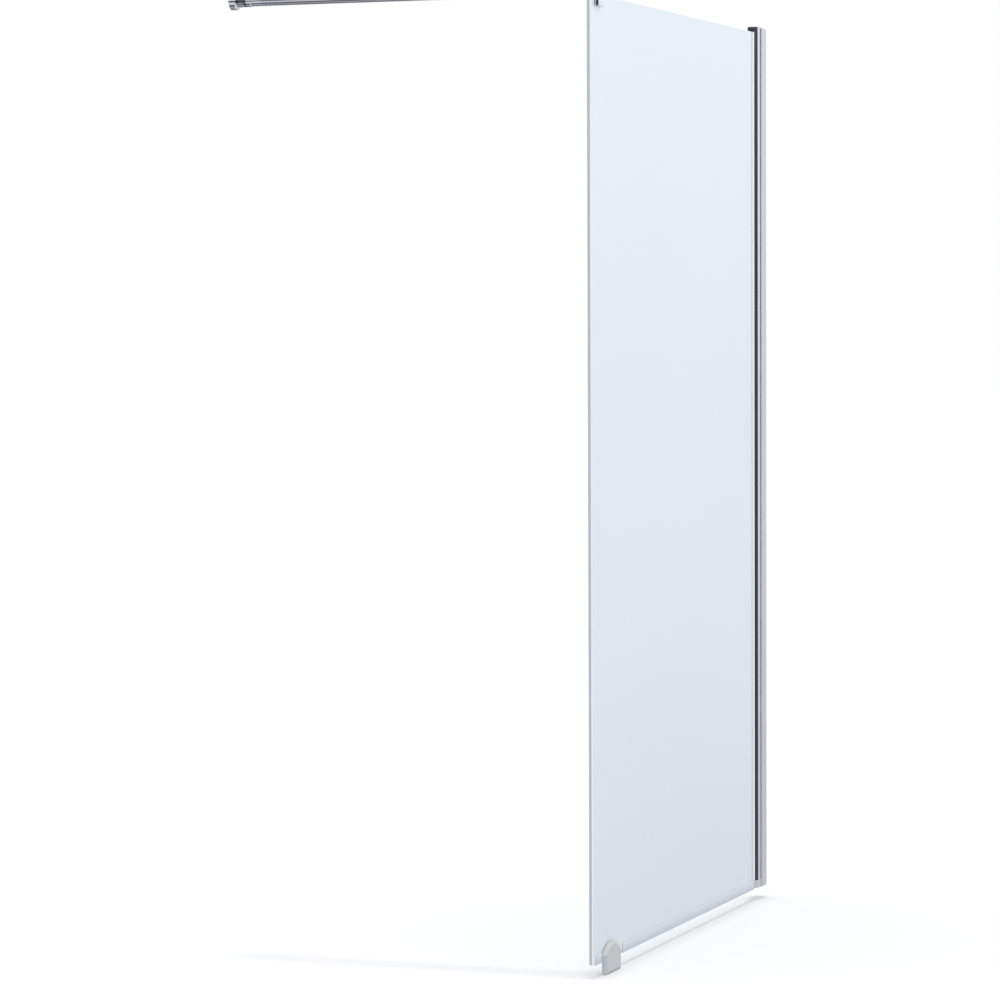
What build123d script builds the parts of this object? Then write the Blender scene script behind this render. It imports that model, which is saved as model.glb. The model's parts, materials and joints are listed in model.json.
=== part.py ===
from build123d import *
import os

os.makedirs("parts", exist_ok=True)

# A fixed shower screen: one tall glass panel held along one edge by a wall channel,
# near its free edge by a floor foot, and at its top by a bar to the facing wall.
# Frame: the origin is the centre of the wall channel's back face at its lower end,
# on the middle plane of the glass. +X points into the wall, +Z is up, and the bar
# runs towards +Y. All sizes are in millimetres.

# Panel and wall channel
panel_width = 1200.0            # wall face to the glass's free edge
channel_height = 1950.0
channel_above_glass = 10.0
floor_gap = 28.0                # floor to the glass's lower edge
glass_thickness = 8.0
glass_corner_radius = 2.0
glass_arris = 0.6
wall_channel_depth = 38.0
wall_channel_wall = 1.8
wall_channel_web = 2.5
wall_screw_radius = 2.75
wall_screw_end_margin = 120.0
wall_screw_count = 4
slide_gap = 0.2                 # glazing channel to wall channel, each side
width_travel = 7.5              # each way, along X

# Glazing channel, which holds the glass and slides in the wall channel
nose_radius = 12.0
glazing_straight = 42.0         # from its back to the centre of the round nose
glazing_back_gap = 16.0         # wall face to its back, at rest
glazing_leg = 2.0
glazing_web = 2.0
back_pocket_depth = 17.0
wide_pocket_length = 15.0
horn_shoulder = 3.5             # step that the gasket's barb hooks behind
gasket_thickness = 2.0
gasket_barb_length = 3.5
gasket_lip = 1.2                # how far the gasket stands out of the nose
edge_pad_thickness = 4.0
edge_pad_height = 60.0
edge_pad_inset = 250.0
bottom_cap_height = 18.0
top_cap_thickness = 2.5
cap_plug_depth = 12.0
cap_plug_gap = 0.3
glass_slot_gap = 0.2

# Screws that fix the glazing channel in the slots of the wall channel
side_screw_count = 3
side_screw_inset = 300.0
side_screw_edge = 4.25          # glazing channel's back edge to the screws' axes
side_screw_radius = 2.0
side_screw_head_radius = 3.75
side_screw_head_height = 2.2
side_screw_end = 2.0            # how far the shank shows inside the glazing channel
side_screw_hole_gap = 0.05
slot_gap = 0.3
cover_wall = 1.6
cover_height = 4.0
cover_head_gap = 0.5

# Seal along the glass's lower edge
seal_wall = 2.0
seal_base = 2.5
seal_height = 17.5              # from the glass's lower edge up
seal_start = 16.0               # from the free edge
seal_gap_after_foot = 36.0
seal_end_gap = 0.5

# Foot near the free edge
foot_inset = 101.0              # free edge to the foot's centre
foot_width = 96.0
foot_top = 33.5                 # above the glass's lower edge
foot_arch_rise = 20.0
foot_plate_thickness = 9.6
foot_edge_round = 5.0
foot_base_pad = 1.0
pad_thickness = 1.0
pad_inset = 1.0
foot_inner_width = 82.0
foot_inner_thickness = 5.0
foot_inner_bottom = 2.0
foot_inner_top = 31.0
foot_screw_spacing = 40.0
foot_screw_height = 16.0
foot_screw_radius = 3.0
foot_screw_depth = 8.0          # thread in the outer plate
foot_screw_head_radius = 5.8
foot_screw_head_height = 3.0
foot_hole_gap = 0.1
glass_hole_radius = 7.0
bush_gap = 0.2
floor_stud_spacing = 50.0
floor_stud_radius = 2.5
floor_stud_depth = 12.0

# Clamp on the glass's top edge
clamp_inset = 43.0              # free edge to the clamp's centre
clamp_width = 38.5
clamp_grip = 25.0               # how far it reaches down over the glass
clamp_jaw = 6.5
clamp_inner_jaw = 5.0
clamp_corner_radius = 5.0
clamp_edge_round = 1.5
clamp_plate_thickness = 1.5
clamp_plate_inset = 2.0
clamp_screw_spacing = 20.0
clamp_screw_radius = 2.4
clamp_screw_gap = 0.1

# Bar to the facing wall, with a knuckle at each end
bar_reach = 792.0               # glass's middle plane to the facing wall
bar_radius = 11.0
bar_wall = 1.2
bar_below_glass_top = 1.0       # how far the bar's underside lies under the glass's top
knuckle_radius = 12.3
tongue_thickness = 8.0
tongue_radius = 10.5
washer_thickness = 1.0
washer_radius = 9.0
pivot_radius = 3.0
pivot_gap = 0.05
pivot_head_radius = 4.5
pivot_head_height = 2.0
pivot_head_depth = 0.7          # the head's top lies this far under the knuckle's top
swing_gap = 0.5                 # knuckle's round end to the collar, and tongue to slot
clamp_pivot_out = 15.5          # clamp's inner face to its pivot
collar_length = 11.2
collar_chamfer = 1.2
plug_length = 30.0
fit_gap = 0.05                  # radial, rod in tube and plugs in their tubes
sleeve_length = 25.0
sleeve_proud = 0.1
rod_wall = 3.2
rod_insert = 160.0              # rod inside the bar tube, at rest
bar_travel = 100.0
key_depth = 1.8
grub_radius = 2.0
grub_gap = 0.1
grub_inset = 12.0
grub_bite = 1.6
glide_length = 6.0
glide_spigot = 10.0

# Flange on the facing wall, under its rosette
flange_pivot_out = 23.0         # facing wall to its pivot
flange_base_radius = 15.0
flange_base_thickness = 4.0
wall_stud_radius = 2.5
wall_stud_depth = 10.0
rosette_radius = 18.0
rosette_depth = 15.0
rosette_wall = 1.5
rosette_front = 4.0
rosette_bore_gap = 0.3
rosette_front_round = 5.0
rosette_back_round = 1.2
o_ring_wire = 0.85
o_ring_gap = 0.1

# Places worked out from the sizes above
glass_top = channel_height - channel_above_glass
half_glass = glass_thickness / 2
glazing_back = -glazing_back_gap
nose_centre = glazing_back - glazing_straight
nose_tip = nose_centre - nose_radius
web_back = glazing_back - back_pocket_depth
web_front = web_back - glazing_web
mouth_half = half_glass + gasket_thickness
wide_half = mouth_half + horn_shoulder
shoulder_x = web_front - wide_pocket_length
horn_end = nose_centre - (nose_radius**2 - mouth_half**2) ** 0.5
glass_back = web_front - edge_pad_thickness
wall_channel_inside = 2 * (nose_radius + slide_gap)
wall_channel_width = wall_channel_inside + 2 * wall_channel_wall
side_screw_x = glazing_back - side_screw_edge
slot_length = 2 * (side_screw_radius + slot_gap + width_travel)
slot_width = 2 * (side_screw_radius + slot_gap)
cover_inner_width = 2 * (side_screw_head_radius + cover_head_gap)
cover_inner_length = cover_inner_width + 2 * width_travel
side_screw_step = (channel_height - 2 * side_screw_inset) / (side_screw_count - 1)
side_screw_heights = [side_screw_inset + i * side_screw_step for i in range(side_screw_count)]
wall_screw_step = (channel_height - 2 * wall_screw_end_margin) / (wall_screw_count - 1)
wall_screw_heights = [wall_screw_end_margin + i * wall_screw_step for i in range(wall_screw_count)]
foot_x = -panel_width + foot_inset
foot_face = half_glass + pad_thickness
foot_back = foot_face + foot_plate_thickness
foot_left = foot_x - foot_width / 2
foot_right = foot_x + foot_width / 2
foot_screw_places = [
    (foot_x - foot_screw_spacing / 2, foot_screw_height),
    (foot_x + foot_screw_spacing / 2, foot_screw_height),
]
clamp_x = -panel_width + clamp_inset
clamp_outer_face = half_glass + pad_thickness + clamp_jaw
clamp_jaw_inside = half_glass + pad_thickness + clamp_plate_thickness
clamp_inner_face = clamp_jaw_inside + clamp_inner_jaw
bar_z = glass_top - bar_below_glass_top + bar_radius
bar_bore = bar_radius - bar_wall
clamp_top = bar_z + knuckle_radius + 0.2
clamp_screw_z = glass_top - clamp_grip / 2
clamp_pivot_y = clamp_inner_face + clamp_pivot_out
flange_pivot_y = bar_reach - flange_pivot_out
slot_half = tongue_thickness / 2 + washer_thickness
collar_start = knuckle_radius + swing_gap
tube_start = clamp_pivot_y + collar_start + collar_length
sleeve_end = flange_pivot_y - collar_start - collar_length
tube_end = sleeve_end - sleeve_length
rod_radius = bar_bore - fit_gap
rod_bore = rod_radius - rod_wall
rod_start = tube_end - rod_insert
lock_screw_y = tube_end - grub_inset
sleeve_screw_y = sleeve_end - sleeve_length / 2
plug_screw_y = tube_start + grub_inset
neck_bore = knuckle_radius + rosette_bore_gap


def along_y(y, side=1):
    """The plane square to the bar at y, facing +Y for side 1 and -Y for side -1."""
    return Plane(origin=(clamp_x, y, bar_z), x_dir=(1, 0, 0), z_dir=(0, side, 0))


def arch(centre, width, bottom, top, rise):
    """An arch-topped face in a plane's own coordinates, centred on x = centre."""
    left = centre - width / 2
    right = centre + width / 2
    with BuildSketch() as face:
        with BuildLine():
            Line((left, top - rise), (left, bottom))
            Line((left, bottom), (right, bottom))
            Line((right, bottom), (right, top - rise))
            ThreePointArc((right, top - rise), (centre, top), (left, top - rise))
        make_face()
    return face.sketch


# Wall channel: a U-shaped extrusion, screwed to the wall through its web
with BuildPart() as wall_channel:
    with BuildSketch():
        with Locations((-wall_channel_depth / 2, 0)):
            Rectangle(wall_channel_depth, wall_channel_width)
        with Locations((-(wall_channel_depth + wall_channel_web) / 2, 0)):
            Rectangle(wall_channel_depth - wall_channel_web, wall_channel_inside, mode=Mode.SUBTRACT)
    extrude(amount=channel_height)
    fillet(wall_channel.edges().filter_by(Axis.Z).group_by(Axis.X)[0], wall_channel_wall / 3)
    with BuildSketch(Plane.YZ):
        with Locations([(0, z) for z in wall_screw_heights]):
            Circle(wall_screw_radius)
    extrude(amount=-wall_channel_web, mode=Mode.SUBTRACT)
    with BuildSketch(Plane.XZ.offset(-wall_channel_width / 2)):
        with Locations([(side_screw_x, z) for z in side_screw_heights]):
            SlotOverall(slot_length, slot_width)
    extrude(amount=wall_channel_wall, mode=Mode.SUBTRACT)
wall_channel.part.label = "wall_channel"
export_step(wall_channel.part, "parts/wall_channel.step")

# Covers that snap over the side screws and leave them room to travel
with BuildPart() as slot_covers:
    with BuildSketch(Plane.XZ.offset(-wall_channel_width / 2)):
        with Locations([(side_screw_x, z) for z in side_screw_heights]):
            SlotOverall(cover_inner_length + 2 * cover_wall, cover_inner_width + 2 * cover_wall)
    extrude(amount=-cover_height)
    fillet(slot_covers.faces().group_by(Axis.Y)[-1].edges(), cover_wall * 0.6)
    with BuildSketch(Plane.XZ.offset(-wall_channel_width / 2)):
        with Locations([(side_screw_x, z) for z in side_screw_heights]):
            SlotOverall(cover_inner_length, cover_inner_width)
    extrude(amount=-(side_screw_head_height + cover_head_gap), mode=Mode.SUBTRACT)
slot_covers.part.label = "slot_covers"
export_step(slot_covers.part, "parts/slot_covers.step")

# Glazing channel: two back legs, a web, and a round nose with a mouth for the glass
with BuildPart() as glazing_channel:
    with BuildSketch(Plane.XY.offset(bottom_cap_height)):
        with Locations((glazing_back - glazing_straight / 2, 0)):
            Rectangle(glazing_straight, 2 * nose_radius)
        with Locations((nose_centre, 0)):
            Circle(nose_radius)
        with Locations((glazing_back - back_pocket_depth / 2, 0)):
            Rectangle(back_pocket_depth, 2 * (nose_radius - glazing_leg), mode=Mode.SUBTRACT)
        with Locations((web_front - wide_pocket_length / 2, 0)):
            Rectangle(wide_pocket_length, 2 * wide_half, mode=Mode.SUBTRACT)
        with Locations(((shoulder_x + nose_tip) / 2, 0)):
            Rectangle(shoulder_x - nose_tip, 2 * mouth_half, mode=Mode.SUBTRACT)
    extrude(amount=channel_height - bottom_cap_height)
    with BuildSketch(Plane.XZ.offset(-nose_radius)):
        with Locations([(side_screw_x, z) for z in side_screw_heights]):
            Circle(side_screw_radius + side_screw_hole_gap)
    extrude(amount=glazing_leg, mode=Mode.SUBTRACT)
glazing_channel.part.label = "glazing_channel"
export_step(glazing_channel.part, "parts/glazing_channel.step")


def glazing_gasket(side):
    """One wedge gasket, on the +Y side of the glass for side 1 and the -Y side for -1."""
    glass_face = side * half_glass
    lip_x = horn_end - gasket_lip
    barb_x = shoulder_x + gasket_barb_length
    barb_y = side * (mouth_half + horn_shoulder - 1.0)
    with BuildPart() as gasket:
        with BuildSketch(Plane.XY.offset(bottom_cap_height)):
            with BuildLine():
                Polyline(
                    (lip_x + gasket_lip / 2, glass_face),
                    (barb_x, glass_face),
                    (barb_x, side * mouth_half),
                    (shoulder_x + 0.3, barb_y),
                    (shoulder_x + 0.3, side * mouth_half),
                    (horn_end, side * mouth_half),
                    (lip_x, side * (half_glass + gasket_thickness / 2)),
                    (lip_x + gasket_lip / 2, glass_face),
                )
            make_face()
        extrude(amount=glass_top - bottom_cap_height)
    return gasket


outer_gasket = glazing_gasket(-1)
outer_gasket.part.label = "outer_gasket"
export_step(outer_gasket.part, "parts/outer_gasket.step")

inner_gasket = glazing_gasket(1)
inner_gasket.part.label = "inner_gasket"
export_step(inner_gasket.part, "parts/inner_gasket.step")

# Pads between the glass's hidden edge and the web
with BuildPart() as edge_pads:
    with BuildSketch(Plane.YZ.offset(web_front)):
        with Locations((0, edge_pad_inset), (0, glass_top / 2), (0, glass_top - edge_pad_inset)):
            Rectangle(glass_thickness, edge_pad_height)
    extrude(amount=-edge_pad_thickness)
edge_pads.part.label = "edge_pads"
export_step(edge_pads.part, "parts/edge_pads.step")

# Lower end cap: the channel's outline, with a slot for the glass and a plug
with BuildPart() as bottom_end_cap:
    with BuildSketch():
        with Locations((glazing_back - glazing_straight / 2, 0)):
            Rectangle(glazing_straight, 2 * nose_radius)
        with Locations((nose_centre, 0)):
            Circle(nose_radius)
        with Locations(((glass_back + glass_slot_gap + nose_tip) / 2, 0)):
            Rectangle(
                glass_back + glass_slot_gap - nose_tip,
                glass_thickness + 2 * glass_slot_gap,
                mode=Mode.SUBTRACT,
            )
    extrude(amount=bottom_cap_height)
    with BuildSketch(Plane.XY.offset(bottom_cap_height)):
        with Locations((glazing_back - back_pocket_depth / 2, 0)):
            Rectangle(
                back_pocket_depth - 2 * cap_plug_gap,
                2 * (nose_radius - glazing_leg - cap_plug_gap),
            )
    extrude(amount=cap_plug_depth)
bottom_end_cap.part.label = "bottom_end_cap"
export_step(bottom_end_cap.part, "parts/bottom_end_cap.step")

# Upper end cap: the same outline, closed, with plugs in both pockets
with BuildPart() as top_end_cap:
    with BuildSketch(Plane.XY.offset(channel_height)):
        with Locations((glazing_back - glazing_straight / 2, 0)):
            Rectangle(glazing_straight, 2 * nose_radius)
        with Locations((nose_centre, 0)):
            Circle(nose_radius)
    extrude(amount=top_cap_thickness)
    fillet(top_end_cap.faces().sort_by(Axis.Z)[-1].edges(), 1.0)
    with BuildSketch(Plane.XY.offset(channel_height)):
        with Locations((glazing_back - back_pocket_depth / 2, 0)):
            Rectangle(
                back_pocket_depth - 2 * cap_plug_gap,
                2 * (nose_radius - glazing_leg - cap_plug_gap),
            )
    extrude(amount=-cap_plug_depth)
    with BuildSketch(Plane.XY.offset(channel_height)):
        with Locations((web_front - wide_pocket_length / 2, 0)):
            Rectangle(wide_pocket_length - 2 * cap_plug_gap, 2 * (wide_half - cap_plug_gap))
    extrude(amount=-(channel_height - glass_top) * 0.8)
top_end_cap.part.label = "top_end_cap"
export_step(top_end_cap.part, "parts/top_end_cap.step")

# Side screws: pan heads on the wall channel, shanks in the glazing channel's inner leg
with BuildPart() as side_screws:
    with BuildSketch(Plane.XZ.offset(-wall_channel_width / 2)):
        with Locations([(side_screw_x, z) for z in side_screw_heights]):
            Circle(side_screw_head_radius)
    extrude(amount=-side_screw_head_height)
    fillet(side_screws.faces().group_by(Axis.Y)[-1].edges(), side_screw_head_height / 3)
    with BuildSketch(Plane.XZ.offset(-wall_channel_width / 2)):
        with Locations([(side_screw_x, z) for z in side_screw_heights]):
            Circle(side_screw_radius)
    extrude(amount=wall_channel_wall + slide_gap + glazing_leg + side_screw_end)
    with BuildSketch(Plane.XZ.offset(-wall_channel_width / 2 - side_screw_head_height)):
        with Locations([(side_screw_x, z) for z in side_screw_heights]):
            RegularPolygon(side_screw_radius * 0.7, 6)
    extrude(amount=side_screw_head_height * 0.6, mode=Mode.SUBTRACT)
side_screws.part.label = "side_screws"
export_step(side_screws.part, "parts/side_screws.step")

# Glass: toughened, with softened corners, ground edges and two holes for the foot
with BuildPart() as glass_panel:
    with BuildSketch(Plane.XZ.offset(-half_glass)):
        with Locations(((glass_back - panel_width) / 2, glass_top / 2)):
            RectangleRounded(panel_width + glass_back, glass_top, glass_corner_radius)
    extrude(amount=glass_thickness)
    chamfer(
        glass_panel.faces().sort_by(Axis.Y)[0].edges() + glass_panel.faces().sort_by(Axis.Y)[-1].edges(),
        glass_arris,
    )
    with BuildSketch(Plane.XZ.offset(-half_glass)):
        with Locations(foot_screw_places):
            Circle(glass_hole_radius)
    extrude(amount=glass_thickness, mode=Mode.SUBTRACT)
glass_panel.part.label = "glass_panel"
export_step(glass_panel.part, "parts/glass_panel.step")


def bottom_seal(start, end):
    """A U-shaped seal pushed on the glass's lower edge, from x = start to x = end."""
    with BuildPart() as seal:
        with BuildSketch(Plane.YZ.offset(start)) as outline:
            with Locations((0, (seal_height - seal_base) / 2)):
                Rectangle(glass_thickness + 2 * seal_wall, seal_height + seal_base)
            fillet(outline.vertices().group_by(Axis.Y)[0], seal_wall * 0.7)
            fillet(outline.vertices().group_by(Axis.Y)[-1], seal_wall * 0.4)
            with Locations((0, seal_height / 2)):
                Rectangle(glass_thickness, seal_height, mode=Mode.SUBTRACT)
        extrude(amount=end - start)
    return seal


bottom_seal_short = bottom_seal(-panel_width + seal_start, foot_left - seal_end_gap)
bottom_seal_short.part.label = "bottom_seal_short"
export_step(bottom_seal_short.part, "parts/bottom_seal_short.step")

bottom_seal_long = bottom_seal(foot_right + seal_gap_after_foot, nose_tip - seal_end_gap)
bottom_seal_long.part.label = "bottom_seal_long"
export_step(bottom_seal_long.part, "parts/bottom_seal_long.step")

# Foot: an arch-topped plate that stands on the floor against the glass's outer face
foot_outline = arch(foot_x, foot_width, foot_base_pad - floor_gap, foot_top, foot_arch_rise)
with BuildPart() as foot_plate:
    with BuildSketch(Plane.XZ.offset(foot_face)):
        add(foot_outline)
    extrude(amount=foot_plate_thickness)
    fillet(foot_plate.faces().sort_by(Axis.Y)[0].edges(), foot_edge_round)
    with BuildSketch(Plane.XZ.offset(foot_face)):
        with Locations(foot_screw_places):
            Circle(foot_screw_radius + foot_hole_gap)
    extrude(amount=foot_screw_depth, mode=Mode.SUBTRACT)
    with BuildSketch(Plane.XY.offset(foot_base_pad - floor_gap)):
        with Locations((foot_x, -(foot_face + foot_back) / 2)):
            with GridLocations(floor_stud_spacing, 1, 2, 1):
                Circle(floor_stud_radius)
    extrude(amount=floor_stud_depth, mode=Mode.SUBTRACT)
foot_plate.part.label = "foot_plate"
export_step(foot_plate.part, "parts/foot_plate.step")

# Rubber strips under the foot, clear of the floor studs
with BuildPart() as foot_base_rubber:
    with BuildSketch(Plane.XY.offset(-floor_gap)):
        with Locations((foot_x, -(foot_face + foot_back) / 2)):
            Rectangle(foot_width - 2 * pad_inset, foot_plate_thickness - 2 * pad_inset)
            with GridLocations(floor_stud_spacing, 1, 2, 1):
                Rectangle(2 * (floor_stud_radius + pad_inset), foot_plate_thickness, mode=Mode.SUBTRACT)
    extrude(amount=foot_base_pad)
foot_base_rubber.part.label = "foot_base_pad"
export_step(foot_base_rubber.part, "parts/foot_base_pad.step")

# Pads that keep the foot's two plates off the glass
outer_pad_outline = arch(
    foot_x, foot_width - 2 * pad_inset, pad_inset, foot_top - pad_inset, foot_arch_rise
)
with BuildPart() as foot_outer_pad:
    with BuildSketch(Plane.XZ.offset(half_glass)):
        add(outer_pad_outline)
        with Locations(foot_screw_places):
            Circle(foot_screw_radius + foot_hole_gap, mode=Mode.SUBTRACT)
    extrude(amount=pad_thickness)
foot_outer_pad.part.label = "foot_outer_pad"
export_step(foot_outer_pad.part, "parts/foot_outer_pad.step")

inner_outline = arch(
    foot_x,
    foot_inner_width,
    foot_inner_bottom,
    foot_inner_top,
    foot_arch_rise * foot_inner_width / foot_width,
)
with BuildPart() as foot_inner_pad:
    with BuildSketch(Plane.XZ.offset(-half_glass)):
        add(inner_outline)
        with Locations(foot_screw_places):
            Circle(foot_screw_radius + foot_hole_gap, mode=Mode.SUBTRACT)
    extrude(amount=-pad_thickness)
foot_inner_pad.part.label = "foot_inner_pad"
export_step(foot_inner_pad.part, "parts/foot_inner_pad.step")

# Foot's inner plate, which two countersunk screws draw towards the outer one
foot_inner_face = foot_face + foot_inner_thickness
with BuildPart() as foot_clamp_plate:
    with BuildSketch(Plane.XZ.offset(-foot_face)):
        add(inner_outline)
    extrude(amount=-foot_inner_thickness)
    fillet(foot_clamp_plate.faces().sort_by(Axis.Y)[-1].edges(), foot_edge_round / 2)
    for x, z in foot_screw_places:
        with Locations(Plane(origin=(x, foot_inner_face, z), z_dir=(0, 1, 0))):
            CounterSinkHole(
                foot_screw_radius + foot_hole_gap,
                foot_screw_head_radius + foot_hole_gap,
                foot_inner_thickness,
            )
foot_clamp_plate.part.label = "foot_clamp_plate"
export_step(foot_clamp_plate.part, "parts/foot_clamp_plate.step")

# Bushes that keep the foot's screws off the glass
with BuildPart() as foot_bushes:
    with BuildSketch(Plane.XZ.offset(-half_glass)):
        with Locations(foot_screw_places):
            Circle(glass_hole_radius - bush_gap)
            Circle(foot_screw_radius + foot_hole_gap, mode=Mode.SUBTRACT)
    extrude(amount=glass_thickness)
foot_bushes.part.label = "foot_bushes"
export_step(foot_bushes.part, "parts/foot_bushes.step")

# Foot screws: countersunk heads with a hexagon socket
screw_length = foot_inner_face + foot_face + foot_screw_depth - foot_hole_gap
with BuildPart() as foot_screws:
    for x, z in foot_screw_places:
        with BuildSketch(Plane(origin=(x, foot_inner_face, z), x_dir=(1, 0, 0), z_dir=(0, 0, 1))):
            with BuildLine():
                Polyline(
                    (0, 0),
                    (foot_screw_head_radius, 0),
                    (foot_screw_radius, foot_screw_radius - foot_screw_head_radius),
                    (foot_screw_radius, -screw_length),
                    (0, -screw_length),
                    (0, 0),
                )
            make_face()
        revolve(axis=Axis((x, foot_inner_face, z), (0, 1, 0)))
    with BuildSketch(Plane.XZ.offset(-foot_inner_face)):
        with Locations(foot_screw_places):
            RegularPolygon(foot_screw_radius * 0.8, 6)
    extrude(amount=foot_screw_head_height * 0.8, mode=Mode.SUBTRACT)
foot_screws.part.label = "foot_screws"
export_step(foot_screws.part, "parts/foot_screws.step")


def fork_cutter(pivot_y, side):
    """What a knuckle's fork loses: slot, corners and pivot seat. side points to the tongue."""
    slot_back = pivot_y - side * (tongue_radius + swing_gap)
    slot_end = pivot_y + side * (knuckle_radius + 1)
    reach = 2 * knuckle_radius + 2
    with BuildPart() as cutter:
        with BuildSketch(Plane.XY.offset(bar_z - slot_half)):
            with Locations((clamp_x, (slot_back + slot_end) / 2)):
                Rectangle(reach, abs(slot_end - slot_back))
        extrude(amount=2 * slot_half)
        with BuildSketch(Plane.XY.offset(bar_z - reach / 2)):
            with Locations((clamp_x, (pivot_y + slot_end) / 2)):
                Rectangle(reach, abs(slot_end - pivot_y))
            with Locations((clamp_x, pivot_y)):
                Circle(knuckle_radius, mode=Mode.SUBTRACT)
        extrude(amount=reach)
        with Locations((clamp_x, pivot_y, bar_z)):
            Cylinder(pivot_radius + pivot_gap, reach)
        with BuildSketch(Plane.XY.offset(pivot_seat_z)):
            with Locations((clamp_x, pivot_y)):
                Circle(pivot_head_radius + pivot_gap)
        extrude(amount=knuckle_radius)
    return cutter.part


def pivot_screw(pivot_y):
    """The screw that a knuckle turns on, with its head let into the fork."""
    foot_z = bar_z - knuckle_radius + pivot_head_depth
    with BuildPart() as screw:
        with BuildSketch(Plane.XY.offset(foot_z)):
            with Locations((clamp_x, pivot_y)):
                Circle(pivot_radius)
        extrude(amount=pivot_seat_z - foot_z)
        with BuildSketch(Plane.XY.offset(pivot_seat_z)):
            with Locations((clamp_x, pivot_y)):
                Circle(pivot_head_radius)
        extrude(amount=pivot_head_height)
        chamfer(screw.faces().sort_by(Axis.Z)[-1].edges(), 0.4)
        with BuildSketch(Plane.XY.offset(pivot_seat_z + pivot_head_height)):
            with Locations((clamp_x, pivot_y)):
                RegularPolygon(pivot_radius * 0.6, 6)
        extrude(amount=-pivot_head_height * 0.8, mode=Mode.SUBTRACT)
    return screw


def knuckle_washers(pivot_y):
    """Two friction washers, above and below the tongue."""
    with BuildPart() as washers:
        for z in (bar_z - slot_half, bar_z + tongue_thickness / 2):
            with BuildSketch(Plane.XY.offset(z)):
                with Locations((clamp_x, pivot_y)):
                    Circle(washer_radius)
                    Circle(pivot_radius + pivot_gap, mode=Mode.SUBTRACT)
            extrude(amount=washer_thickness)
    return washers


def knuckle_plug(pivot_y, side, spigot_radius, spigot_length, screw_y):
    """A tongue round the pivot, a collar and a spigot. side points to the spigot."""
    collar_y = pivot_y + side * collar_start
    spigot_y = collar_y + side * collar_length
    with BuildPart() as plug:
        with BuildSketch(Plane.XY.offset(bar_z - tongue_thickness / 2)):
            with Locations((clamp_x, pivot_y)):
                Circle(tongue_radius)
            with Locations((clamp_x, (pivot_y + collar_y) / 2)):
                Rectangle(2 * tongue_radius, collar_start)
        extrude(amount=tongue_thickness)
        with BuildSketch(along_y(collar_y, side)):
            Circle(knuckle_radius)
        extrude(amount=collar_length)
        chamfer(plug.faces().sort_by(Axis.Y)[-1 if side > 0 else 0].edges(), collar_chamfer)
        with BuildSketch(along_y(spigot_y, side)):
            Circle(spigot_radius)
        extrude(amount=spigot_length)
        with Locations((clamp_x, pivot_y, bar_z)):
            Cylinder(pivot_radius + pivot_gap, 2 * tongue_thickness, mode=Mode.SUBTRACT)
        with BuildSketch(Plane.XY.offset(bar_z - spigot_radius + grub_bite)):
            with Locations((clamp_x, screw_y)):
                Circle(grub_radius + grub_gap)
        extrude(amount=-knuckle_radius, mode=Mode.SUBTRACT)
    return plug


def grub_screw(y, outer_radius, tip_radius):
    """A grub screw under the bar at y, from the outer surface in to tip_radius."""
    with BuildPart() as grub:
        with BuildSketch(Plane.XY.offset(bar_z - outer_radius + grub_gap * 2)):
            with Locations((clamp_x, y)):
                Circle(grub_radius)
        extrude(amount=outer_radius - tip_radius - grub_gap * 2)
        with BuildSketch(Plane.XY.offset(bar_z - outer_radius + grub_gap * 2)):
            with Locations((clamp_x, y)):
                RegularPolygon(grub_radius * 0.5, 6)
        extrude(amount=(outer_radius - tip_radius) * 0.5, mode=Mode.SUBTRACT)
    return grub


# Top clamp: a block over the glass's top edge, with the fork of the bar's knuckle
pivot_seat_z = bar_z + knuckle_radius - pivot_head_depth - pivot_head_height
clamp_fork_cutter = fork_cutter(clamp_pivot_y, 1)
with BuildPart() as clamp_body:
    with BuildSketch(Plane.XY.offset(glass_top - clamp_grip)):
        with Locations((clamp_x, (clamp_inner_face - clamp_outer_face) / 2)):
            RectangleRounded(clamp_width, clamp_inner_face + clamp_outer_face, clamp_corner_radius)
    extrude(amount=clamp_top - glass_top + clamp_grip)
    fillet(
        clamp_body.faces().sort_by(Axis.Z)[-1].edges() + clamp_body.faces().sort_by(Axis.Z)[0].edges(),
        clamp_edge_round,
    )
    with BuildSketch(along_y(clamp_inner_face - clamp_edge_round)):
        Circle(knuckle_radius)
    extrude(amount=clamp_pivot_y + knuckle_radius - clamp_inner_face + clamp_edge_round)
    with BuildSketch(Plane.XY.offset(glass_top - clamp_grip)):
        with Locations((clamp_x, (clamp_jaw_inside - foot_face) / 2)):
            Rectangle(clamp_width, clamp_jaw_inside + foot_face)
    extrude(amount=clamp_grip + pad_thickness, mode=Mode.SUBTRACT)
    with BuildSketch(Plane.XZ.offset(-clamp_inner_face)):
        with Locations((clamp_x, clamp_screw_z)):
            with GridLocations(clamp_screw_spacing, 1, 2, 1):
                Circle(clamp_screw_radius + clamp_screw_gap)
    extrude(amount=clamp_inner_jaw, mode=Mode.SUBTRACT)
    add(clamp_fork_cutter, mode=Mode.SUBTRACT)
clamp_body.part.label = "clamp_body"
export_step(clamp_body.part, "parts/clamp_body.step")

# Pressure plate that the clamp's grub screws push on
plate_width = clamp_width - 2 * clamp_plate_inset
plate_height = clamp_grip - 2 * clamp_plate_inset
with BuildPart() as clamp_pressure_plate:
    with BuildSketch(Plane.XZ.offset(-foot_face)):
        with Locations((clamp_x, clamp_screw_z)):
            RectangleRounded(plate_width, plate_height, clamp_plate_inset)
    extrude(amount=-clamp_plate_thickness)
clamp_pressure_plate.part.label = "clamp_pressure_plate"
export_step(clamp_pressure_plate.part, "parts/clamp_pressure_plate.step")

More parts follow.
